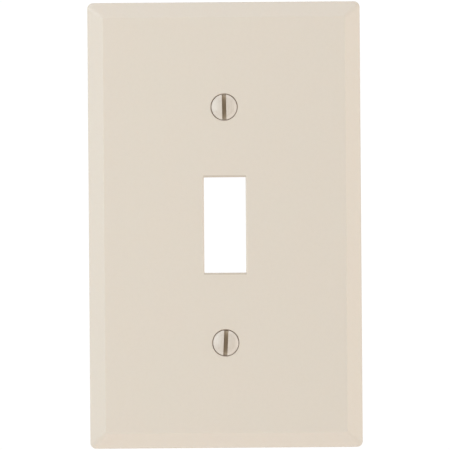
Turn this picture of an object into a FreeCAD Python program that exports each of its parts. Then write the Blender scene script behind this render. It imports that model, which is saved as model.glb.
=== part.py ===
import FreeCAD, Part

import math
import os

import Sketcher

# A single-gang wall plate for a toggle switch, with its two screws.
# Frame: +Z up, the face looks along -Y, +X is to the right of someone facing the plate.
# The origin is the centre of the rear rim, which lies on the wall in the plane Y = 0.

# Two lengths in mm, or two volumes in cubic mm, that differ by less than this count as the same.
TOLERANCE = 1e-3

# name, value in millimetres or degrees, what it is
DIMENSIONS = [
    ("plate_width", 69.85, "outline across, 2.75 in"),
    ("plate_height", 114.3, "outline up, 4.50 in"),
    ("plate_depth", 5.6, "from the wall to the face"),
    ("side_depth", 3.3, "straight side of the plate"),
    ("side_corner", 1.5, "radius of the outline's corners"),
    ("border_run", 3.95, "width of the sloping border, seen from the front"),
    ("face_corner", 0.5, "radius of the flat face's corners"),
    ("face_round", 0.4, "rounding between the face and the border"),
    ("side_round", 0.5, "rounding between the border and the side"),
    ("rear_round", 0.25, "rounding of the outer edge at the wall"),
    ("side_wall", 2.2, "thickness of the outer wall"),
    ("hollow_depth", 3.3, "from the wall to the back of the face"),
    ("hollow_side", 2.4, "straight side of the hollow"),
    ("hollow_run", 1.6, "width of the hollow's sloping border"),
    ("hollow_corner", 1.0, "radius of the hollow's corners"),
    ("opening_width", 10.7, "toggle opening across"),
    ("opening_height", 24.5, "toggle opening up"),
    ("opening_corner", 0.25, "radius of the opening's corners"),
    ("opening_round", 0.4, "rounding of the opening's front edge"),
    ("frame_wall", 2.4, "thickness of the frame behind the opening"),
    ("rib_rear", 1.9, "from the wall to the ribs, the frame and the bosses"),
    ("rib_root", 0.4, "how far these reach into the face"),
    ("rib_wall", 1.2, "thickness of a rib"),
    ("rib_height", 41.0, "from the centre to an outer cross rib"),
    ("boss_diameter", 10.0, "boss round a screw hole"),
    ("root_round", 0.35, "radius where ribs and bosses meet the face"),
    ("rib_round", 0.2, "radius along the rear edges of ribs and bosses"),
    ("screw_spacing", 60.325, "hole to hole, 2.375 in"),
    ("hole_diameter", 3.96, "clearance hole for a No. 6 screw"),
    ("sink_diameter", 7.14, "mouth of the countersink"),
    ("sink_angle", 82.0, "whole angle of the countersink, in degrees"),
    ("sink_round", 0.1, "rounding of the countersink's mouth"),
    ("mark_diameter", 4.8, "ejector pin mark"),
    ("mark_depth", 0.2, "ejector pin mark"),
    ("mark_across", 42.0, "between the two columns of pin marks"),
    ("mark_up", 95.0, "between the outer rows of pin marks"),
    ("head_diameter", 6.49, "screw head"),
    ("head_land", 0.12, "straight edge of the head"),
    ("head_rise", 1.0, "height of the oval top above that edge"),
    ("head_sink", 0.27, "from the face of the plate down to the head's cone"),
    ("slot_width", 1.05, "driver slot"),
    ("slot_depth", 1.35, "driver slot, from the top of the oval"),
    ("slot_round", 0.08, "worn edges of the driver slot"),
    ("screw_length", 12.7, "from the top of the cone to the tip, 1/2 in"),
    ("neck_diameter", 2.98, "plain neck under the head"),
    ("neck_end", 3.8, "from the top of the cone to the first thread"),
    ("thread_diameter", 3.505, "No. 6-32 major diameter"),
    ("thread_pitch", 0.79375, "32 threads to the inch"),
    ("thread_depth", 0.487, "crest to root"),
    ("thread_flank", 30.0, "half of the thread angle, in degrees"),
    ("tip_bevel", 0.45, "bevel at the tip of the screw"),
    ("upper_slot_turn", -0.7, "lean of the upper screw's slot, in degrees"),
    ("lower_slot_turn", 2.9, "lean of the lower screw's slot, in degrees"),
]


def make_sheet(doc):
    """The driving dimensions, one to a row: what it is, its value, and its name as the alias."""
    sheet = doc.addObject("Spreadsheet::Sheet", "Dims")
    for row, (name, value, meaning) in enumerate(DIMENSIONS, start=1):
        sheet.set(f"A{row}", meaning)
        sheet.set(f"B{row}", str(value))
        sheet.setAlias(f"B{row}", name)
    doc.recompute()
    return sheet


# ---------------------------------------------------------------- sketches


def origin_feature(body, role):
    return next(item for item in body.Origin.OriginFeatures if item.Role == role)


def new_sketch(body, name, plane="XZ_Plane", offset="0"):
    """A sketch on one of the body's own planes. On XZ, offset counts from the wall to the face."""
    sketch = body.newObject("Sketcher::SketchObject", name)
    sketch.AttachmentSupport = [(origin_feature(body, plane), "")]
    sketch.MapMode = "FlatFace"
    sketch.setExpression("AttachmentOffset.Base.z", offset)
    return sketch


def size_constraint(sketch, kind, places, expression):
    """A driving dimension of the sketch, bound to an expression of the sheet's names."""
    index = sketch.addConstraint(
        Sketcher.Constraint(kind, *places, sketch.evalExpression(expression))
    )
    sketch.setExpression(f"Constraints[{index}]", expression)


def pin_point(sketch, line, end, across, up):
    """Holds a line's end (1 start, 2 finish, 3 centre) at two coordinates in the sketch."""
    for kind, axis, expression in (("DistanceX", -2, across), ("DistanceY", -1, up)):
        if expression == "0":
            sketch.addConstraint(Sketcher.Constraint("PointOnObject", line, end, axis))
        else:
            size_constraint(sketch, kind, (-1, 1, line, end), expression)


def draw_lines(sketch, corners):
    """Straight lines through the corners, each corner a pair of expressions."""
    points = [
        FreeCAD.Vector(sketch.evalExpression(across), sketch.evalExpression(up), 0)
        for across, up in corners
    ]
    lines = [
        sketch.addGeometry(Part.LineSegment(start, finish), False)
        for start, finish in zip(points, points[1:])
    ]
    for line, following in zip(lines, lines[1:]):
        sketch.addConstraint(Sketcher.Constraint("Coincident", line, 2, following, 1))
    for line, (across, up) in zip(lines, corners):
        pin_point(sketch, line, 1, across, up)
    return lines


def draw_polygon(sketch, corners):
    """A closed outline with straight sides."""
    lines = draw_lines(sketch, corners + corners[:1])
    sketch.addConstraint(Sketcher.Constraint("Coincident", lines[-1], 2, lines[0], 1))


def draw_rectangle(sketch, width, height, across="0", up="0"):
    left, right = f"{across} - {width} / 2", f"{across} + {width} / 2"
    low, high = f"{up} - {height} / 2", f"{up} + {height} / 2"
    draw_polygon(sketch, [(left, low), (right, low), (right, high), (left, high)])


def draw_circle(sketch, diameter, across, up):
    centre = FreeCAD.Vector(sketch.evalExpression(across), sketch.evalExpression(up), 0)
    radius = sketch.evalExpression(diameter) / 2
    circle = sketch.addGeometry(Part.Circle(centre, FreeCAD.Vector(0, 0, 1), radius), False)
    size_constraint(sketch, "Diameter", (circle,), diameter)
    pin_point(sketch, circle, 3, across, up)


def draw_round_rectangle(sketch, width, height, corner):
    """A rectangle about the sketch's origin, with each corner a quarter circle."""
    radius = sketch.evalExpression(corner)
    half_width = sketch.evalExpression(width) / 2
    half_height = sketch.evalExpression(height) / 2
    arcs = []
    sides = []
    for quarter, (right, top) in enumerate([(1, -1), (1, 1), (-1, 1), (-1, -1)]):
        centre = FreeCAD.Vector(right * (half_width - radius), top * (half_height - radius), 0)
        circle = Part.Circle(centre, FreeCAD.Vector(0, 0, 1), radius)
        start = (quarter - 1) * math.pi / 2
        arcs.append(sketch.addGeometry(Part.ArcOfCircle(circle, start, start + math.pi / 2), False))
    for arc, following in zip(arcs, arcs[1:] + arcs[:1]):
        start = sketch.getPoint(arc, 2)
        finish = sketch.getPoint(following, 1)
        sides.append(sketch.addGeometry(Part.LineSegment(start, finish), False))
    for arc, side, following in zip(arcs, sides, arcs[1:] + arcs[:1]):
        sketch.addConstraint(Sketcher.Constraint("Tangent", arc, 2, side, 1))
        sketch.addConstraint(Sketcher.Constraint("Tangent", side, 2, following, 1))
    for side, direction in zip(sides, ("Vertical", "Horizontal", "Vertical", "Horizontal")):
        sketch.addConstraint(Sketcher.Constraint(direction, side))
    for arc in arcs[1:]:
        sketch.addConstraint(Sketcher.Constraint("Equal", arcs[0], arc))
    sketch.addConstraint(Sketcher.Constraint("Symmetric", arcs[0], 3, arcs[2], 3, -1, 1))
    size_constraint(sketch, "Radius", (arcs[0],), corner)
    size_constraint(sketch, "DistanceX", (sides[2], 1, sides[0], 1), width)
    size_constraint(sketch, "DistanceY", (sides[3], 1, sides[1], 1), height)


# ---------------------------------------------------------------- features


def add_feature(body, kind, name, profile=None, **settings):
    """A feature of the body. A setting given as text is an expression or a choice from its list."""
    feature = body.newObject(kind, name)
    if profile:
        feature.Profile = profile
    for setting, value in settings.items():
        is_expression = isinstance(value, str) and "Dims." in value
        if is_expression:
            feature.setExpression(setting, value)
        else:
            setattr(feature, setting, value)
    body.Document.recompute()
    return feature


def cut_feature(body, kind, name, profile, **settings):
    """A feature that takes material away, refused if it takes none."""
    volume_before = body.Shape.Volume
    feature = add_feature(body, kind, name, profile, **settings)
    if body.Shape.Volume > volume_before - TOLERANCE:
        raise ValueError(f"{body.Label}: {name} cuts nothing")
    return feature


def round_edges(body, name, radius, chosen):
    """Rounds every edge of the body for which chosen(edge) is true."""
    base = body.Tip
    edges = [f"Edge{n}" for n, edge in enumerate(base.Shape.Edges, start=1) if chosen(edge)]
    if not edges:
        raise ValueError(f"{body.Label}: {name} finds no edge")
    add_feature(body, "PartDesign::Fillet", name, Base=(base, edges), Radius=radius)


def lies_at(edge, y):
    box = edge.BoundBox
    return abs(box.YMin - y) < TOLERANCE and abs(box.YMax - y) < TOLERANCE


# ---------------------------------------------------------------- wall plate


def add_outer_block(plate, sheet):
    """The plate without its hollow: a straight side, then a border sloping up to the flat face."""
    side_outline = new_sketch(plate, "SideOutline")
    draw_round_rectangle(side_outline, "Dims.plate_width", "Dims.plate_height", "Dims.side_corner")
    add_feature(plate, "PartDesign::Pad", "Side", side_outline, Length="Dims.side_depth")

    border_outline = new_sketch(plate, "BorderOutline", offset="Dims.side_depth")
    draw_round_rectangle(border_outline, "Dims.plate_width", "Dims.plate_height", "Dims.side_corner")
    face_outline = new_sketch(plate, "FaceOutline", offset="Dims.plate_depth")
    draw_round_rectangle(
        face_outline,
        "Dims.plate_width - 2 * Dims.border_run",
        "Dims.plate_height - 2 * Dims.border_run",
        "Dims.face_corner",
    )
    add_feature(
        plate, "PartDesign::AdditiveLoft", "Border", border_outline, Sections=[face_outline], Ruled=True
    )
    round_edges(plate, "FaceRound", "Dims.face_round", lambda edge: lies_at(edge, -sheet.plate_depth))
    round_edges(plate, "SideRound", "Dims.side_round", lambda edge: lies_at(edge, -sheet.side_depth))
    round_edges(plate, "RearRound", "Dims.rear_round", lambda edge: lies_at(edge, 0))


def cut_hollow(plate):
    """The hollow back, whose own border runs beside the outer one."""
    width = "Dims.plate_width - 2 * Dims.side_wall"
    height = "Dims.plate_height - 2 * Dims.side_wall"
    rear_outline = new_sketch(plate, "HollowOutline")
    draw_round_rectangle(rear_outline, width, height, "Dims.hollow_corner")
    cut_feature(
        plate, "PartDesign::Pocket", "HollowSide", rear_outline, Reversed=True, Length="Dims.hollow_side"
    )
    slope_outline = new_sketch(plate, "SlopeOutline", offset="Dims.hollow_side")
    draw_round_rectangle(slope_outline, width, height, "Dims.hollow_corner")
    floor_outline = new_sketch(plate, "FloorOutline", offset="Dims.hollow_depth")
    draw_round_rectangle(
        floor_outline,
        f"{width} - 2 * Dims.hollow_run",
        f"{height} - 2 * Dims.hollow_run",
        "Dims.face_corner",
    )
    cut_feature(
        plate,
        "PartDesign::SubtractiveLoft",
        "HollowSlope",
        slope_outline,
        Sections=[floor_outline],
        Ruled=True,
    )


def pad_to_face(plate, name, sketch):
    """Fills from the ribs' rear level to just inside the face."""
    length = "Dims.hollow_depth + Dims.rib_root - Dims.rib_rear"
    add_feature(plate, "PartDesign::Pad", name, sketch, Length=length)


def add_ribs(plate):
    """Two long ribs beside the opening, four cross ribs, and the frame round the opening."""
    inner_width = "(Dims.plate_width - Dims.side_wall)"
    inner_height = "(Dims.plate_height - Dims.side_wall)"
    frame_width = "(Dims.opening_width + 2 * Dims.frame_wall)"
    frame_height = "(Dims.opening_height + 2 * Dims.frame_wall)"

    frame = new_sketch(plate, "FrameOutline", offset="Dims.rib_rear")
    draw_rectangle(frame, frame_width, frame_height)
    pad_to_face(plate, "OpeningFrame", frame)

    for side, sign in (("Left", "-1"), ("Right", "1")):
        rib = new_sketch(plate, f"{side}RibOutline", offset="Dims.rib_rear")
        across = f"{sign} * ({frame_width} - Dims.rib_wall) / 2"
        draw_rectangle(rib, "Dims.rib_wall", inner_height, across, "0")
        pad_to_face(plate, f"{side}Rib", rib)

    cross_ribs = {
        "LowOuter": "-1 * Dims.rib_height",
        "LowInner": f"-1 * ({frame_height} - Dims.rib_wall) / 2",
        "HighInner": f"({frame_height} - Dims.rib_wall) / 2",
        "HighOuter": "Dims.rib_height",
    }
    for place, up in cross_ribs.items():
        rib = new_sketch(plate, f"{place}RibOutline", offset="Dims.rib_rear")
        draw_rectangle(rib, inner_width, "Dims.rib_wall", "0", up)
        pad_to_face(plate, f"{place}Rib", rib)


def add_bosses(plate):
    """A round boss behind each screw hole."""
    bosses = new_sketch(plate, "BossOutlines", offset="Dims.rib_rear")
    for sign in ("-1", "1"):
        draw_circle(bosses, "Dims.boss_diameter", "0", f"{sign} * Dims.screw_spacing / 2")
    pad_to_face(plate, "Bosses", bosses)


def round_ribs(plate, sheet):
    """Softens the ribs, the frame and the bosses, but not the hollow's own outline."""
    floor_width = sheet.plate_width - 2 * (sheet.side_wall + sheet.hollow_run)
    floor_height = sheet.plate_height - 2 * (sheet.side_wall + sheet.hollow_run)
    margin = 0.6

    def is_inside(edge):
        centre = edge.CenterOfMass
        return abs(centre.x) < floor_width / 2 - margin and abs(centre.z) < floor_height / 2 - margin

    def is_root(edge):
        return lies_at(edge, -sheet.hollow_depth) and is_inside(edge)

    def is_rear_edge(edge):
        return lies_at(edge, -sheet.rib_rear) and is_inside(edge)

    round_edges(plate, "RibRoots", "Dims.root_round", is_root)
    round_edges(plate, "RibEdges", "Dims.rib_round", is_rear_edge)


def cut_opening(plate, sheet):
    """The toggle opening, right through the face and its frame."""
    outline = new_sketch(plate, "OpeningOutline")
    draw_round_rectangle(
        outline, "Dims.opening_width", "Dims.opening_height", "Dims.opening_corner"
    )
    cut_feature(
        plate, "PartDesign::Pocket", "Opening", outline, Reversed=True, Type="ThroughAll"
    )
    def is_front_edge(edge):
        beside_opening = abs(edge.CenterOfMass.z) < sheet.opening_height / 2 + TOLERANCE
        return beside_opening and lies_at(edge, -sheet.plate_depth)

    round_edges(plate, "OpeningRound", "Dims.opening_round", is_front_edge)


def cut_screw_holes(plate, sheet):
    """Two countersunk clearance holes on the plate's centre line."""
    centres = new_sketch(plate, "HoleCentres", offset="Dims.plate_depth")
    for sign in ("-1", "1"):
        draw_circle(centres, "Dims.hole_diameter", "0", f"{sign} * Dims.screw_spacing / 2")
    plate.Document.recompute()
    cut_feature(
        plate,
        "PartDesign::Hole",
        "ScrewHoles",
        centres,
        Diameter="Dims.hole_diameter",
        DepthType="ThroughAll",
        DrillPoint="Flat",
        HoleCutType="Countersink",
        HoleCutCustomValues=True,
        HoleCutDiameter="Dims.sink_diameter",
        HoleCutCountersinkAngle="Dims.sink_angle",
    )

    def is_mouth(edge):
        is_circle = abs(edge.BoundBox.XLength - sheet.sink_diameter) < TOLERANCE
        return lies_at(edge, -sheet.plate_depth) and is_circle

    round_edges(plate, "SinkRound", "Dims.sink_round", is_mouth)


def cut_pin_marks(plate):
    """Rows of shallow discs in the back of the face, left by the mould's ejector pins."""
    row = new_sketch(plate, "PinMarkRow", offset="Dims.hollow_depth")
    for sign in ("-1", "1"):
        draw_circle(
            row, "Dims.mark_diameter", f"{sign} * Dims.mark_across / 2", "-1 * Dims.mark_up / 2"
        )
    lowest = cut_feature(
        plate, "PartDesign::Pocket", "LowestPinMarks", row, Reversed=True, Length="Dims.mark_depth"
    )
    pattern = add_feature(
        plate,
        "PartDesign::LinearPattern",
        "PinMarks",
        Originals=[lowest],
        Direction=(row, ["V_Axis"]),
        Length="Dims.mark_up",
        Occurrences=3,
    )
    plate.Tip = pattern
    plate.Document.recompute()


def make_wall_plate(doc, sheet):
    plate = doc.addObject("PartDesign::Body", "WallPlate")
    plate.Label = "wall_plate"
    add_outer_block(plate, sheet)
    cut_hollow(plate)
    add_ribs(plate)
    add_bosses(plate)
    round_ribs(plate, sheet)
    cut_opening(plate, sheet)
    cut_screw_holes(plate, sheet)
    cut_pin_marks(plate)
    return plate


# ---------------------------------------------------------------- screws


def add_blank(screw):
    """The turned shape: oval top, cone, plain neck and a round bar as thick as the thread.

    It is drawn from the axis outwards, with the top of the cone at 0 and the tip at screw_length.
    """
    head = "Dims.head_diameter / 2"
    neck = "Dims.neck_diameter / 2"
    bar = "Dims.thread_diameter / 2"
    dome_edge = "-1 * Dims.head_land"
    dome_top = "-1 * Dims.head_land - Dims.head_rise"
    profile = new_sketch(screw, "Blank", plane="XY_Plane")
    lines = draw_lines(
        profile,
        [
            (head, dome_edge),
            (head, "0"),
            (neck, f"({head} - {neck}) / tan(Dims.sink_angle / 2)"),
            (neck, "Dims.neck_end"),
            (bar, f"Dims.neck_end + {bar} - {neck}"),
            (bar, "Dims.screw_length - Dims.tip_bevel"),
            (f"{bar} - Dims.tip_bevel", "Dims.screw_length"),
            ("0", "Dims.screw_length"),
            ("0", dome_top),
        ],
    )
    pin_point(profile, lines[-1], 2, "0", dome_top)
    dome = profile.addGeometry(dome_arc(profile, head, dome_edge, dome_top), False)
    profile.addConstraint(Sketcher.Constraint("Coincident", dome, 1, lines[-1], 2))
    profile.addConstraint(Sketcher.Constraint("Coincident", dome, 2, lines[0], 1))
    profile.addConstraint(Sketcher.Constraint("PointOnObject", dome, 3, -2))
    add_feature(
        screw,
        "PartDesign::Revolution",
        "TurnedBlank",
        profile,
        ReferenceAxis=(origin_feature(screw, "Y_Axis"), [""]),
        Angle=360,
    )


def dome_arc(sketch, head, dome_edge, dome_top):
    """The oval top's arc, from the axis to the head's edge, with its centre on the axis."""
    reach = sketch.evalExpression(head)
    edge = sketch.evalExpression(dome_edge)
    top = sketch.evalExpression(dome_top)
    rise = edge - top
    radius = (reach**2 + rise**2) / (2 * rise)
    centre = FreeCAD.Vector(0, top + radius, 0)
    circle = Part.Circle(centre, FreeCAD.Vector(0, 0, 1), radius)
    half_angle = math.asin(reach / radius)
    return Part.ArcOfCircle(circle, -math.pi / 2, -math.pi / 2 + half_angle)


def cut_thread(screw):
    """A 60 degree groove wound along the bar, running out at the neck."""
    bar = "Dims.thread_diameter / 2"
    clear = "0.1"
    root_half = "Dims.thread_pitch / 12"
    mouth_half = f"({root_half} + (Dims.thread_depth + {clear}) * tan(Dims.thread_flank))"
    start = "Dims.screw_length + Dims.thread_pitch"
    groove = new_sketch(screw, "GrooveProfile", plane="XY_Plane")
    draw_polygon(
        groove,
        [
            (f"{bar} - Dims.thread_depth", f"{start} - {root_half}"),
            (f"{bar} + {clear}", f"{start} - {mouth_half}"),
            (f"{bar} + {clear}", f"{start} + {mouth_half}"),
            (f"{bar} - Dims.thread_depth", f"{start} + {root_half}"),
        ],
    )
    screw.Document.recompute()
    cut_feature(
        screw,
        "PartDesign::SubtractiveHelix",
        "Thread",
        groove,
        ReferenceAxis=(origin_feature(screw, "Y_Axis"), [""]),
        Mode="pitch-height-angle",
        Pitch="Dims.thread_pitch",
        Height="Dims.screw_length - Dims.neck_end + Dims.thread_pitch * 3 / 4",
        Reversed=True,
    )


def cut_slot(screw, sheet):
    """The straight driver slot across the head."""
    dome_top = "-1 * Dims.head_land - Dims.head_rise"
    above = "1"
    half = "Dims.slot_width / 2"
    section = new_sketch(screw, "SlotSection", plane="XY_Plane")
    floor = f"{dome_top} + Dims.slot_depth"
    draw_polygon(
        section,
        [
            (f"-1 * {half}", f"{dome_top} - {above}"),
            (half, f"{dome_top} - {above}"),
            (half, floor),
            (f"-1 * {half}", floor),
        ],
    )
    cut_feature(
        screw, "PartDesign::Pocket", "Slot", section, SideType="Symmetric", Type="ThroughAll"
    )

    def is_slot_lip(edge):
        box = edge.BoundBox
        beside_slot = abs(abs(edge.CenterOfMass.x) - sheet.slot_width / 2) < TOLERANCE
        on_dome = box.YMax < -sheet.head_land + TOLERANCE
        return beside_slot and on_dome and box.XLength < TOLERANCE

    round_edges(screw, "SlotLips", "Dims.slot_round", is_slot_lip)


def make_screw(doc, sheet, name, label, height, slot_turn):
    """One screw, standing in its hole and turned about its own axis."""
    screw = doc.addObject("PartDesign::Body", name)
    screw.Label = label
    add_blank(screw)
    cut_thread(screw)
    cut_slot(screw, sheet)
    screw.Placement = FreeCAD.Placement(FreeCAD.Vector(), FreeCAD.Rotation(FreeCAD.Vector(0, 1, 0), 1))
    screw.setExpression("Placement.Rotation.Angle", slot_turn)
    screw.setExpression("Placement.Base.y", "Dims.head_sink - Dims.plate_depth")
    screw.setExpression("Placement.Base.z", height)
    doc.recompute()
    return screw


# ---------------------------------------------------------------- whole plate


def check_document(doc, sub_parts):
    for item in doc.Objects:
        if "Invalid" in item.State or "Error" in item.State:
            raise ValueError(f"{item.Label} failed: {item.State}")
    for part in sub_parts:
        if part.Shape.isNull() or not part.Shape.isValid() or len(part.Shape.Solids) != 1:
            raise ValueError(f"{part.Label} is not one valid solid")


def main():
    doc = FreeCAD.newDocument("TogglePlate")
    sheet = make_sheet(doc)
    half_spacing = "Dims.screw_spacing / 2"
    sub_parts = [
        make_wall_plate(doc, sheet),
        make_screw(doc, sheet, "UpperScrew", "upper_screw", half_spacing, "Dims.upper_slot_turn"),
        make_screw(
            doc, sheet, "LowerScrew", "lower_screw", f"-1 * {half_spacing}", "Dims.lower_slot_turn"
        ),
    ]
    doc.recompute()
    check_document(doc, sub_parts)
    os.makedirs("parts", exist_ok=True)
    for part in sub_parts:
        part.Shape.exportStep(f"parts/{part.Label}.step")


main()
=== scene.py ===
import math
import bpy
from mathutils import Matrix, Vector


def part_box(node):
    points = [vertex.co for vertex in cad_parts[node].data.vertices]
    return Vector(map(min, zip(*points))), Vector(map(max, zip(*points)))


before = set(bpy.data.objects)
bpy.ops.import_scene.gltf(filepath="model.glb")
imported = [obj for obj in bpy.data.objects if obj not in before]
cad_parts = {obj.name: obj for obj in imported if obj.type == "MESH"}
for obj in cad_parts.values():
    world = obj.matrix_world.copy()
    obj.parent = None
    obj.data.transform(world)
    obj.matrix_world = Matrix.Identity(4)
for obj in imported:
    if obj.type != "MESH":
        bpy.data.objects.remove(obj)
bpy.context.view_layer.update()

from types import SimpleNamespace

import bpy
import numpy as np
from mathutils import Euler, Vector

# A single-gang toggle wall plate with its two screws, in soft studio light above a pale floor.
# Everything is in metres, in the frame's own axes: the face looks along -Y and Z is up.

MM = 0.001

# Dimensions of the CAD model that its nodes' boxes don't give.
BORDER_RUN = 3.95 * MM
FACE_TO_EDGE = 2.3 * MM
FACE_THICKNESS = 2.3 * MM
FACE_TO_BOSS_REAR = 3.7 * MM
SIDE_WALL = 2.2 * MM
OPENING_HALF_WIDTH = 5.35 * MM
OPENING_HALF_HEIGHT = 12.25 * MM
OPENING_ROUND = 0.4 * MM
SINK_RADIUS = 3.57 * MM
HEAD_RIM_DEPTH = 0.27 * MM
DOME_RISE = 1.0 * MM
SLOT_HALF_WIDTH = 0.525 * MM
SLOT_DEPTH = 1.35 * MM
THREAD_ROOT_RADIUS = 1.27 * MM
THREAD_CREST_RADIUS = 1.7525 * MM


# ---------------------------------------------------------------- node trees


class Graph:
    """The node tree of a material or a world. Most methods add a node and return its output."""

    def __init__(self, owner):
        self.owner = owner
        self.owner.use_nodes = True
        self.tree = self.owner.node_tree
        self.tree.nodes.clear()

    def node(self, kind, inputs=None, **settings):
        """Adds a node. An input given as a socket is linked, and any other is set."""
        made = self.tree.nodes.new(kind)
        for setting, value in settings.items():
            setattr(made, setting, value)
        for socket, value in (inputs or {}).items():
            if isinstance(value, bpy.types.NodeSocket):
                self.tree.links.new(value, made.inputs[socket])
            else:
                made.inputs[socket].default_value = value
        return made

    def place(self):
        """The point's own place in the frame, which stays with its piece when the piece turns."""
        return self.node("ShaderNodeTexCoord").outputs["Object"]

    def split(self, vector):
        return self.node("ShaderNodeSeparateXYZ", {0: vector}).outputs

    def join(self, x, y, z):
        return self.node("ShaderNodeCombineXYZ", {0: x, 1: y, 2: z}).outputs[0]

    def math(self, operation, first, second=0.0):
        return self.node("ShaderNodeMath", {0: first, 1: second}, operation=operation).outputs[0]

    def plus(self, first, second):
        return self.math("ADD", first, second)

    def minus(self, first, second):
        return self.math("SUBTRACT", first, second)

    def size(self, value):
        """The value without its sign."""
        return self.math("ABSOLUTE", value)

    def both(self, first, second):
        """The product, which for two masks is 1 only where both are."""
        return self.math("MULTIPLY", first, second)

    def either(self, first, second):
        """The larger, which for two masks is 1 where one of them is."""
        return self.math("MAXIMUM", first, second)

    def ramp(self, value, low, high, to_low=0.0, to_high=1.0):
        """Eases from to_low to to_high while value runs from low to high, and stays there."""
        inputs = {
            "Value": value,
            "From Min": low,
            "From Max": high,
            "To Min": to_low,
            "To Max": to_high,
        }
        made = self.node("ShaderNodeMapRange", inputs, interpolation_type="SMOOTHSTEP")
        return made.outputs["Result"]

    def share(self, mask, most):
        """The mask, eased at both ends, running up to most instead of 1."""
        return self.ramp(mask, 0.0, 1.0, 0.0, most)

    def band(self, value, middle, half_width):
        """1 where value is at the middle, fading to 0 at half_width on either side."""
        return self.ramp(self.size(self.minus(value, middle)), 0.0, half_width, 1.0, 0.0)

    def stretch(self, vector, scale, turn):
        """Turns the pattern's own axes, then makes it scale times as long along each of them."""
        inputs = {"Vector": vector, "Rotation": turn, "Scale": scale}
        return self.node("ShaderNodeMapping", inputs, vector_type="TEXTURE").outputs["Vector"]

    def noise(self, vector, size, detail=2.0, roughness=0.5, distortion=0.0):
        """Clouds about size metres across, from 0 to 1."""
        inputs = {
            "Vector": vector,
            "Scale": 1.0 / size,
            "Detail": detail,
            "Roughness": roughness,
            "Distortion": distortion,
        }
        return self.node("ShaderNodeTexNoise", inputs).outputs["Fac"]

    def blend(self, share, first, second):
        """The first colour where share is 0, the second where it is 1."""
        inputs = {0: share, 6: first, 7: second}
        return self.node("ShaderNodeMix", inputs, data_type="RGBA").outputs[2]

    def blend_number(self, share, first, second):
        """The first number where share is 0, the second where it is 1."""
        inputs = {0: share, 2: first, 3: second}
        return self.node("ShaderNodeMix", inputs, data_type="FLOAT").outputs[0]

    def bump(self, height, distance, normal=None):
        """Raises the surface by distance metres where height is 1."""
        inputs = {"Height": height, "Distance": distance}
        if normal is not None:
            inputs["Normal"] = normal
        return self.node("ShaderNodeBump", inputs).outputs["Normal"]

    def finish(self, **shader_inputs):
        """Ends a material in one shader. An input's name is its socket's, with _ for a space."""
        inputs = {name.replace("_", " "): value for name, value in shader_inputs.items()}
        shader = self.node("ShaderNodeBsdfPrincipled", inputs)
        self.node("ShaderNodeOutputMaterial", {"Surface": shader.outputs[0]})
        return self.owner


def paint(red, green, blue):
    """A colour on the 0 to 255 scale of a paint chart, as the linear values a shader takes."""

    def linear(level):
        share = level / 255
        return share / 12.92 if share <= 0.04045 else ((share + 0.055) / 1.055) ** 2.4

    return (linear(red), linear(green), linear(blue), 1.0)


# ---------------------------------------------------------------- wall plate

ALMOND_WARM = paint(224, 213.5, 198.5)
ALMOND_COOL = paint(222.5, 214.5, 199.5)
MOTTLE = paint(214, 203, 186)
FLECK = paint(206, 193, 172)
RUBBED_EDGE = paint(233, 226, 214)
FLOW_MARK = paint(214, 203, 188)
# Painted contact shade and dust, in patches round each screw head.
SCREW_SHADE_AND_DUST = paint(150, 136, 116)
# Painted shade along the opening's top and bottom ends.
OPENING_END_SHADE = paint(176, 163, 145)
# Painted shade and grime: darkens the countersinks and the holes behind them, where the screw heads
# shade them.
SINK_SHADE_AND_GRIME = paint(131, 111, 94)

PLASTIC_IOR = 1.5
POLISHED_ROUGHNESS = (0.305, 0.335)
BACK_ROUGHNESS = (0.40, 0.46)
DULL_ROUGHNESS = 0.7

PEEL_HEIGHT = 0.003 * MM
GRAIN_HEIGHT = 0.0006 * MM
HAIRLINE_DEPTH = 0.0008 * MM
POLISH_MARK_HEIGHT = 0.0012 * MM


def screw_axis_distance(graph, axes, spacing):
    """How far a point lies from the nearer of the two screw axes."""
    up = graph.minus(graph.size(axes["Z"]), spacing / 2)
    square = graph.plus(graph.both(axes["X"], axes["X"]), graph.both(up, up))
    return graph.math("SQRT", square)


def outline_inset(graph, axes, half_width, half_height):
    """How far a point lies outside the plate's outline, seen from in front: inside it is below 0."""
    across = graph.minus(graph.size(axes["X"]), half_width)
    up = graph.minus(graph.size(axes["Z"]), half_height)
    return graph.either(across, up)


def hollow_back(graph, inset, below_face):
    """The hollow inside the rim, with its ribs and bosses."""
    inside_rim = graph.ramp(inset, -SIDE_WALL - 0.3 * MM, -SIDE_WALL + 0.05 * MM, 1.0, 0.0)
    behind_face = graph.ramp(below_face, FACE_THICKNESS - 0.4 * MM, FACE_THICKNESS - 0.05 * MM)
    return graph.both(inside_rim, behind_face)


def worn_edges(graph, place, inset, below_face):
    """The border's inner and outer edges, rubbed here and there."""
    inner_edge = graph.band(inset, -BORDER_RUN, 0.35 * MM)
    at_outline = graph.ramp(inset, -0.7 * MM, -0.1 * MM)
    outer_edge = graph.both(at_outline, graph.band(below_face, FACE_TO_EDGE, 0.8 * MM))
    rubbing = graph.ramp(graph.noise(place, 2.2 * MM, detail=3.0), 0.35, 0.7)
    return graph.both(graph.either(inner_edge, outer_edge), rubbing)


def sink_walls(graph, from_screw, below_face):
    """The countersinks and the holes behind them, but not the bosses' rear faces."""
    in_mouth = graph.ramp(from_screw, SINK_RADIUS - 0.12 * MM, SINK_RADIUS + 0.02 * MM, 1.0, 0.0)
    below_mouth = graph.ramp(below_face, 0.01 * MM, 0.12 * MM)
    rear = FACE_TO_BOSS_REAR
    before_rear = graph.ramp(below_face, rear - 0.4 * MM, rear - 0.1 * MM, 1.0, 0.0)
    return graph.both(graph.both(in_mouth, below_mouth), before_rear)


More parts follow.
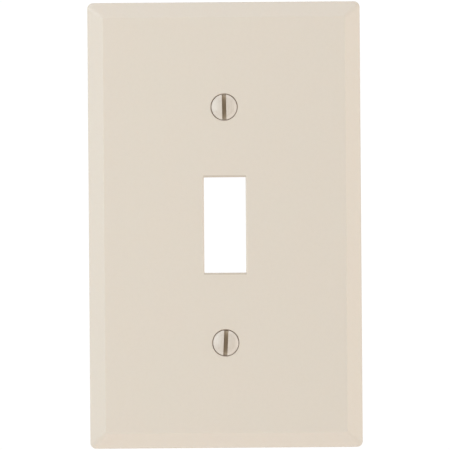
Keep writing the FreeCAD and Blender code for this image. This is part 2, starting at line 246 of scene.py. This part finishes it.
def contact_shade_and_dust(graph, place, from_screw, back):
    """A patchy darkening on the face round each screw, fading outwards from the head: painted contact
    shade and dust.
    """
    beside_screw = graph.ramp(from_screw, SINK_RADIUS, SINK_RADIUS + 1.2 * MM, 1.0, 0.0)
    patches = graph.ramp(graph.noise(place, 1.1 * MM, detail=3.0), 0.45, 0.7)
    return graph.both(graph.both(beside_screw, patches), graph.minus(1.0, back))


def opening_end_mask(graph, axes):
    """The opening's top and bottom ends: the colour gets painted shade there, and the finish is
    duller.
    """
    up = graph.size(axes["Z"])
    end_reach = OPENING_HALF_HEIGHT + OPENING_ROUND
    half_width = OPENING_HALF_WIDTH
    between_sides = graph.ramp(graph.size(axes["X"]), half_width, half_width + 0.3 * MM, 1.0, 0.0)
    inside_end = graph.ramp(up, end_reach - 0.05 * MM, end_reach + 0.2 * MM, 1.0, 0.0)
    at_end = graph.ramp(up, OPENING_HALF_HEIGHT - 0.1 * MM, OPENING_HALF_HEIGHT)
    return graph.both(graph.both(between_sides, inside_end), at_end)


def plate_zones(graph, place, screw_spacing):
    """Masks over the moulding, each 1 in its own zone and 0 elsewhere."""
    low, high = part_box("wall_plate")
    axes = graph.split(place)
    inset = outline_inset(graph, axes, high.x, high.z)
    from_screw = screw_axis_distance(graph, axes, screw_spacing)
    below_face = graph.minus(axes["Y"], low.y)
    back = hollow_back(graph, inset, below_face)
    return SimpleNamespace(
        back=back,
        worn=worn_edges(graph, place, inset, below_face),
        sink=sink_walls(graph, from_screw, below_face),
        shade_and_dust_round_screws=contact_shade_and_dust(graph, place, from_screw, back),
        shaded_opening_ends=opening_end_mask(graph, axes),
    )


def scratches(graph, place, turn, width):
    """Sparse hairlines about width metres wide, all lying one way."""
    long_way = graph.stretch(place, (1.0, 1.0, 80.0), (0.0, turn, 0.0))
    lines = graph.noise(long_way, width, detail=1.0)
    patches = graph.noise(place, 14 * MM, detail=1.0)
    return graph.both(graph.ramp(lines, 0.70, 0.76), graph.ramp(patches, 0.5, 0.62))


def plate_colour(graph, place, zones, flow):
    """Almond with faint clouds, and over it the layers that each zone adds, from first to last."""
    clouds = graph.noise(place, 11 * MM)
    mottle = graph.noise(place, 0.9 * MM)
    fibres = graph.stretch(place, (1.0, 2.0, 2.0), (0.4, 0.7, 0.2))
    flecks = graph.noise(fibres, 0.12 * MM, detail=1.0)
    # How strong the painted shade and grime in the countersinks is, in patches.
    sink_shade_share = graph.ramp(graph.noise(place, 3.2 * MM), 0.35, 0.65, 0.6, 0.9)
    layers = [
        (graph.ramp(mottle, 0.35, 0.7, 0.0, 0.08), MOTTLE),
        (graph.ramp(flecks, 0.67, 0.77, 0.0, 0.28), FLECK),
        (graph.share(zones.worn, 0.06), RUBBED_EDGE),
        (graph.both(graph.ramp(flow, 0.4, 0.65, 0.0, 0.15), zones.back), FLOW_MARK),
        (graph.share(zones.shade_and_dust_round_screws, 0.05), SCREW_SHADE_AND_DUST),
        (graph.share(zones.shaded_opening_ends, 0.42), OPENING_END_SHADE),
        (graph.both(zones.sink, sink_shade_share), SINK_SHADE_AND_GRIME),
    ]
    colour = graph.blend(clouds, ALMOND_WARM, ALMOND_COOL)
    for share, tint in layers:
        colour = graph.blend(share, colour, tint)
    return colour


def plate_roughness(graph, place, zones, flow, hairlines):
    """Glossy with handling marks in front, duller on the back, dull in the sinks and at the opening's
    ends.
    """
    handling = graph.noise(place, 7 * MM, detail=3.0)
    front = graph.ramp(handling, 0.3, 0.72, *POLISHED_ROUGHNESS)
    front = graph.plus(front, graph.share(hairlines, 0.12))
    front = graph.minus(front, graph.share(zones.worn, 0.015))
    back = graph.ramp(flow, 0.35, 0.65, *BACK_ROUGHNESS)
    moulded = graph.blend_number(zones.back, front, back)
    return graph.blend_number(graph.either(zones.sink, zones.shaded_opening_ends), moulded, DULL_ROUGHNESS)


def plate_relief(graph, place, zones, hairlines):
    """Orange peel and grain all over, hairlines, and the mould's polishing marks on the back."""
    peel = graph.noise(place, 1.8 * MM, detail=1.0)
    grain = graph.noise(place, 0.22 * MM)
    polish = graph.noise(graph.stretch(place, (1.0, 1.0, 20.0), (0.0, 0.6, 0.0)), 0.15 * MM)
    normal = graph.bump(peel, PEEL_HEIGHT)
    normal = graph.bump(grain, GRAIN_HEIGHT, normal)
    normal = graph.bump(hairlines, -HAIRLINE_DEPTH, normal)
    return graph.bump(graph.both(polish, zones.back), POLISH_MARK_HEIGHT, normal)


def plate_plastic(screw_spacing):
    """Light almond thermoset, with a glossy moulded front and a duller back."""
    graph = Graph(bpy.data.materials.new("almond_thermoset"))
    place = graph.place()
    zones = plate_zones(graph, place, screw_spacing)
    flow = graph.noise(place, 8 * MM, detail=3.0, distortion=1.2)
    hairlines = graph.either(
        scratches(graph, place, math.radians(24), 0.10 * MM),
        scratches(graph, place, math.radians(-57), 0.08 * MM),
    )
    return graph.finish(
        Base_Color=plate_colour(graph, place, zones, flow),
        Roughness=plate_roughness(graph, place, zones, flow, hairlines),
        IOR=PLASTIC_IOR,
        Subsurface_Weight=0.06,
        Subsurface_Radius=(1.0, 0.75, 0.5),
        Subsurface_Scale=0.8 * MM,
        Normal=plate_relief(graph, place, zones, hairlines),
    )


# ---------------------------------------------------------------- screws

ENAMEL_DARK = paint(210, 200, 185)
ENAMEL_LIGHT = paint(221, 212, 199)
ENAMEL_CLOUD = paint(208, 198, 184)
# Painted highlight: lightens the enamel towards the head's rim.
ENAMEL_RIM_HIGHLIGHT = paint(236, 228, 217)
SLOT_PAINT = paint(209, 194, 171)
# Dirt and painted shade, darkest where the slot is deepest below the dome.
SLOT_DIRT_AND_SHADE = paint(166, 149, 125)
ZINC = paint(203, 205, 209)
ZINC_TARNISH = paint(208, 200, 178)
# Dirt and painted shade in the thread's roots.
THREAD_ROOT_DIRT_AND_SHADE = paint(112, 106, 98)

ENAMEL_IOR = 1.5
ENAMEL_ROUGHNESS = (0.29, 0.38)
SLOT_ROUGHNESS = 0.7
ZINC_ROUGHNESS = (0.29, 0.42)

STREAK_HEIGHT = 0.004 * MM
RING_HEIGHT = 0.004 * MM
SPECKLE_HEIGHT = 0.0012 * MM
CHIP_DEPTH = 0.01 * MM
SLOT_FLOOR_TOLERANCE = 0.08 * MM


def slot_direction(node_name, head_top):
    """Which way a screw's driver slot runs, read from the flat floor of the slot itself."""
    points = np.array([v.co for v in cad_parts[node_name].data.vertices])
    low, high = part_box(node_name)
    middle = (low.z + high.z) / 2
    on_floor = abs(points[:, 1] - head_top - SLOT_DEPTH) < SLOT_FLOOR_TOLERANCE
    x = points[on_floor, 0]
    z = points[on_floor, 2] - middle
    return 0.5 * math.atan2(2 * (x * z).sum(), (x * x - z * z).sum())


def screw_layout(graph, place, node_name):
    """Where a point lies on a screw: from its axis, its top, its head's rim and its slot."""
    low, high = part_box(node_name)
    turn = slot_direction(node_name, low.y)
    middle = (0.0, 0.0, (low.z + high.z) / 2)
    centred = graph.node("ShaderNodeVectorMath", {0: place, 1: middle}, operation="SUBTRACT")
    x, y, z = graph.split(centred.outputs[0])
    along = graph.plus(graph.both(x, math.cos(turn)), graph.both(z, math.sin(turn)))
    across = graph.minus(graph.both(z, math.cos(turn)), graph.both(x, math.sin(turn)))
    square = graph.plus(graph.both(x, x), graph.both(z, z))
    return SimpleNamespace(
        head_radius=high.x,
        radius=graph.math("SQRT", square),
        square=square,
        y=y,
        depth=graph.minus(y, low.y),
        below_rim=graph.minus(y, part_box("wall_plate")[0].y + HEAD_RIM_DEPTH),
        off_slot=graph.size(across),
        slot_frame=graph.join(across, y, along),
    )


def driver_slot(graph, layout):
    """The slot's floor and its two walls."""
    half_width = SLOT_HALF_WIDTH
    between_walls = graph.ramp(
        layout.off_slot, half_width + 0.005 * MM, half_width + 0.03 * MM, 1.0, 0.0
    )
    above_floor = graph.ramp(layout.depth, SLOT_DEPTH + 0.02 * MM, SLOT_DEPTH + 0.06 * MM, 1.0, 0.0)
    return graph.both(between_walls, above_floor)


def chipped_paint(graph, place, layout, on_head):
    """Bare metal on the slot's lips, where the driver slips, and along the head's rim."""
    chips = graph.noise(place, 0.35 * MM, detail=5.0, roughness=0.7)
    lips = graph.band(layout.off_slot, SLOT_HALF_WIDTH + 0.05 * MM, 0.09 * MM)
    edge = layout.head_radius
    rim = graph.ramp(layout.radius, edge - 0.16 * MM, edge - 0.03 * MM)
    lip_wear = graph.both(graph.both(lips, on_head), graph.ramp(chips, 0.5, 0.62))
    rim_wear = graph.both(graph.both(rim, on_head), graph.ramp(chips, 0.56, 0.66))
    return graph.either(lip_wear, rim_wear)


def zinc_plating(graph, place, layout, in_slot):
    """The shank: paint mist reaches a little way down the cone, then the plating shows."""
    mist = graph.ramp(graph.noise(place, 0.5 * MM, detail=4.0), 0.0, 1.0, -0.45 * MM, 0.45 * MM)
    past_mist = graph.ramp(graph.plus(layout.below_rim, mist), 0.12 * MM, 0.42 * MM)
    return graph.both(past_mist, graph.minus(1.0, in_slot))


def screw_zones(graph, place, layout):
    """Masks over a screw, each 1 in its own zone and 0 elsewhere."""
    root, crest = THREAD_ROOT_RADIUS, THREAD_CREST_RADIUS
    on_head = graph.ramp(layout.below_rim, -0.02 * MM, 0.02 * MM, 1.0, 0.0)
    in_slot = driver_slot(graph, layout)
    bare = chipped_paint(graph, place, layout, on_head)
    plated = zinc_plating(graph, place, layout, in_slot)
    return SimpleNamespace(
        on_head=on_head,
        in_slot=in_slot,
        bare=bare,
        plated=plated,
        metal=graph.either(plated, bare),
        in_root=graph.ramp(layout.radius, root, crest - 0.08 * MM, 1.0, 0.0),
    )


def enamel_colour(graph, place, layout, in_slot, streaks):
    """Streaky enamel, lighter towards the rim as a painted highlight, and in the slot dirt and
    painted shade that darken with depth.
    """
    cloud = graph.noise(place, 1.4 * MM)
    edge = layout.head_radius
    # Painted highlight, growing towards the head's rim.
    rim_highlight = graph.ramp(layout.radius, edge - 0.95 * MM, edge - 0.3 * MM, 0.0, 0.35)
    enamel = graph.blend(graph.ramp(streaks, 0.3, 0.72), ENAMEL_DARK, ENAMEL_LIGHT)
    enamel = graph.blend(graph.ramp(cloud, 0.4, 0.7, 0.0, 0.3), enamel, ENAMEL_CLOUD)
    enamel = graph.blend(rim_highlight, enamel, ENAMEL_RIM_HIGHLIGHT)

    dome_radius = (edge**2 + DOME_RISE**2) / (2 * DOME_RISE)
    dome_drop = graph.math("DIVIDE", layout.square, 2 * dome_radius)
    # Dirt and painted shade: the slot darkens with depth below the dome.
    slot_dirt_and_shade = graph.ramp(graph.minus(layout.depth, dome_drop), 0.0, 1.15 * MM)
    return graph.blend(in_slot, enamel, graph.blend(slot_dirt_and_shade, SLOT_PAINT, SLOT_DIRT_AND_SHADE))


def zinc_colour(graph, place, in_root):
    """Zinc with yellowish tarnish, and dirt and painted shade in the thread's roots."""
    tarnish = graph.noise(place, 1.8 * MM, detail=4.0, roughness=0.6)
    zinc = graph.blend(graph.ramp(tarnish, 0.35, 0.68), ZINC, ZINC_TARNISH)
    return graph.blend(graph.share(in_root, 0.55), zinc, THREAD_ROOT_DIRT_AND_SHADE)


def screw_roughness(graph, zones, streaks, rings):
    """Glossy enamel and zinc, duller in the slot and in the thread's roots."""
    painted = graph.ramp(streaks, 0.3, 0.75, *ENAMEL_ROUGHNESS)
    painted = graph.blend_number(zones.in_slot, painted, SLOT_ROUGHNESS)
    zinc = graph.ramp(rings, 0.3, 0.7, *ZINC_ROUGHNESS)
    zinc = graph.plus(zinc, graph.share(zones.in_root, 0.15))
    return graph.blend_number(zones.metal, painted, zinc)


def screw_relief(graph, place, zones, streaks, rings):
    """Streaks in the paint, turning marks on the plating, a fine grain, and chips below the paint."""
    speckle = graph.noise(place, 0.12 * MM)
    normal = graph.bump(streaks, STREAK_HEIGHT)
    normal = graph.bump(graph.both(rings, zones.plated), RING_HEIGHT, normal)
    normal = graph.bump(speckle, SPECKLE_HEIGHT, normal)
    return graph.bump(zones.bare, -CHIP_DEPTH, normal)


def painted_screw(node_name):
    """Steel screw: enamelled oval head, driver slot darkened with depth by dirt and painted shade,
    rubbed lips, zinc-plated thread.
    """
    graph = Graph(bpy.data.materials.new(f"{node_name}_finish"))
    place = graph.place()
    layout = screw_layout(graph, place, node_name)
    zones = screw_zones(graph, place, layout)
    long_way = graph.stretch(layout.slot_frame, (1.0, 1.0, 14.0), (0.0, 0.0, 0.0))
    streaks = graph.noise(long_way, 0.16 * MM, detail=3.0, roughness=0.6)
    rings = graph.noise(graph.join(layout.radius, layout.y, 0.0), 0.09 * MM)
    enamel = enamel_colour(graph, place, layout, zones.in_slot, streaks)
    zinc = zinc_colour(graph, place, zones.in_root)
    return graph.finish(
        Base_Color=graph.blend(zones.metal, enamel, zinc),
        Metallic=zones.metal,
        Roughness=screw_roughness(graph, zones, streaks, rings),
        IOR=ENAMEL_IOR,
        Coat_Weight=graph.both(zones.on_head, 0.25),
        Coat_Roughness=0.3,
        Normal=screw_relief(graph, place, zones, streaks, rings),
    )


def dress(node_name, material):
    """Gives a carried-over CAD node its finish."""
    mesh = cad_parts[node_name].data
    mesh.materials.clear()
    mesh.materials.append(material)


# ---------------------------------------------------------------- studio

CAMERA_DISTANCE = 1.0
CAMERA_LEAN = math.radians(0.42)
VIEW_MARGIN = 1.007
FLOOR_DROP = 0.6
FLOOR_HALF = 4.0
WHITE = (1.0, 1.0, 1.0, 1.0)
LEVEL_AHEAD = 0.5
LEVEL_BEHIND = 1.03

# name, (degrees round from straight in front, degrees up), distance, (width, height), watts, colour
SOFTBOXES = [
    ("cool_key", (-45, 10), 0.6, (0.3, 0.5), 1.39, (0.9, 0.955, 1.0)),
    ("warm_fill", (70, 0), 1.2, (0.6, 1.0), 3.55, (1.0, 0.885, 0.785)),
    ("top", (0, 55), 0.55, (0.5, 0.3), 0.33, (0.96, 0.89, 1.0)),
    ("bounce", (0, -75), 0.5, (0.6, 0.3), 0.35, (1.0, 0.79, 0.78)),
]


def studio_paper():
    """Matt white paper with a fine fibre."""
    graph = Graph(bpy.data.materials.new("studio_paper"))
    fibres = graph.noise(graph.place(), 1.5 * MM, detail=4.0)
    return graph.finish(
        Base_Color=graph.blend(fibres, paint(238, 237, 235), paint(246, 245, 243)),
        Roughness=graph.ramp(fibres, 0.3, 0.7, 0.8, 0.95),
        Normal=graph.bump(fibres, 0.05 * MM),
    )


def add_floor(level):
    """A pale square floor, level metres up."""
    half = FLOOR_HALF
    corners = [(-half, -half, level), (half, -half, level), (half, half, level), (-half, half, level)]
    mesh = bpy.data.meshes.new("studio_floor")
    mesh.from_pydata(corners, [], [(0, 1, 2, 3)])
    mesh.materials.append(studio_paper())
    floor = bpy.data.objects.new("studio_floor", mesh)
    bpy.context.scene.collection.objects.link(floor)


def add_softbox(name, target, bearing, distance, size, watts, colour):
    """A soft light aimed at the part."""
    turn, rise = (math.radians(angle) for angle in bearing)
    level_reach = math.cos(rise)
    way = Vector((math.sin(turn) * level_reach, -math.cos(turn) * level_reach, math.sin(rise)))
    data = bpy.data.lights.new(name, "AREA")
    data.shape = "RECTANGLE"
    data.size, data.size_y = size
    data.energy = watts
    data.color = colour
    light = bpy.data.objects.new(name, data)
    light.location = target + way * distance
    light.rotation_euler = (-way).to_track_quat("-Z", "Y").to_euler()
    light.visible_camera = False
    bpy.context.scene.collection.objects.link(light)


def add_surroundings():
    """White surroundings, dimmer on the side that the face looks towards."""
    graph = Graph(bpy.data.worlds.new("studio"))
    towards = graph.node("ShaderNodeTexCoord").outputs["Generated"]
    inputs = {
        "Value": graph.split(towards)["Y"],
        "From Min": -1.0,
        "From Max": 1.0,
        "To Min": LEVEL_AHEAD,
        "To Max": LEVEL_BEHIND,
    }
    level = graph.node("ShaderNodeMapRange", inputs).outputs["Result"]
    background = graph.node("ShaderNodeBackground", {"Color": WHITE, "Strength": level})
    graph.node("ShaderNodeOutputWorld", {"Surface": background.outputs[0]})
    bpy.context.scene.world = graph.owner


def add_camera(low, high):
    """A long lens straight in front of the plate's box, leaning a little."""
    centre = (low + high) / 2
    view_height = (high.z - low.z) * VIEW_MARGIN
    data = bpy.data.cameras.new("camera")
    data.lens = data.sensor_width * CAMERA_DISTANCE / view_height
    camera = bpy.data.objects.new("camera", data)
    camera.location = (centre.x, low.y - CAMERA_DISTANCE, centre.z)
    camera.rotation_euler = Euler((math.pi / 2, CAMERA_LEAN, 0))
    bpy.context.scene.collection.objects.link(camera)
    bpy.context.scene.camera = camera


def add_studio():
    """The floor, the lights, the surroundings and the camera round the plate."""
    low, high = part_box("wall_plate")
    add_surroundings()
    add_floor(low.z - FLOOR_DROP)
    for name, *settings in SOFTBOXES:
        add_softbox(name, (low + high) / 2, *settings)
    add_camera(low, high)
    bpy.context.scene.view_settings.view_transform = "Standard"


# ---------------------------------------------------------------- whole scene


def node_height(node_name):
    low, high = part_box(node_name)
    return (low.z + high.z) / 2


def main():
    dress("wall_plate", plate_plastic(node_height("upper_screw") - node_height("lower_screw")))
    dress("upper_screw", painted_screw("upper_screw"))
    dress("lower_screw", painted_screw("lower_screw"))
    add_studio()


main()
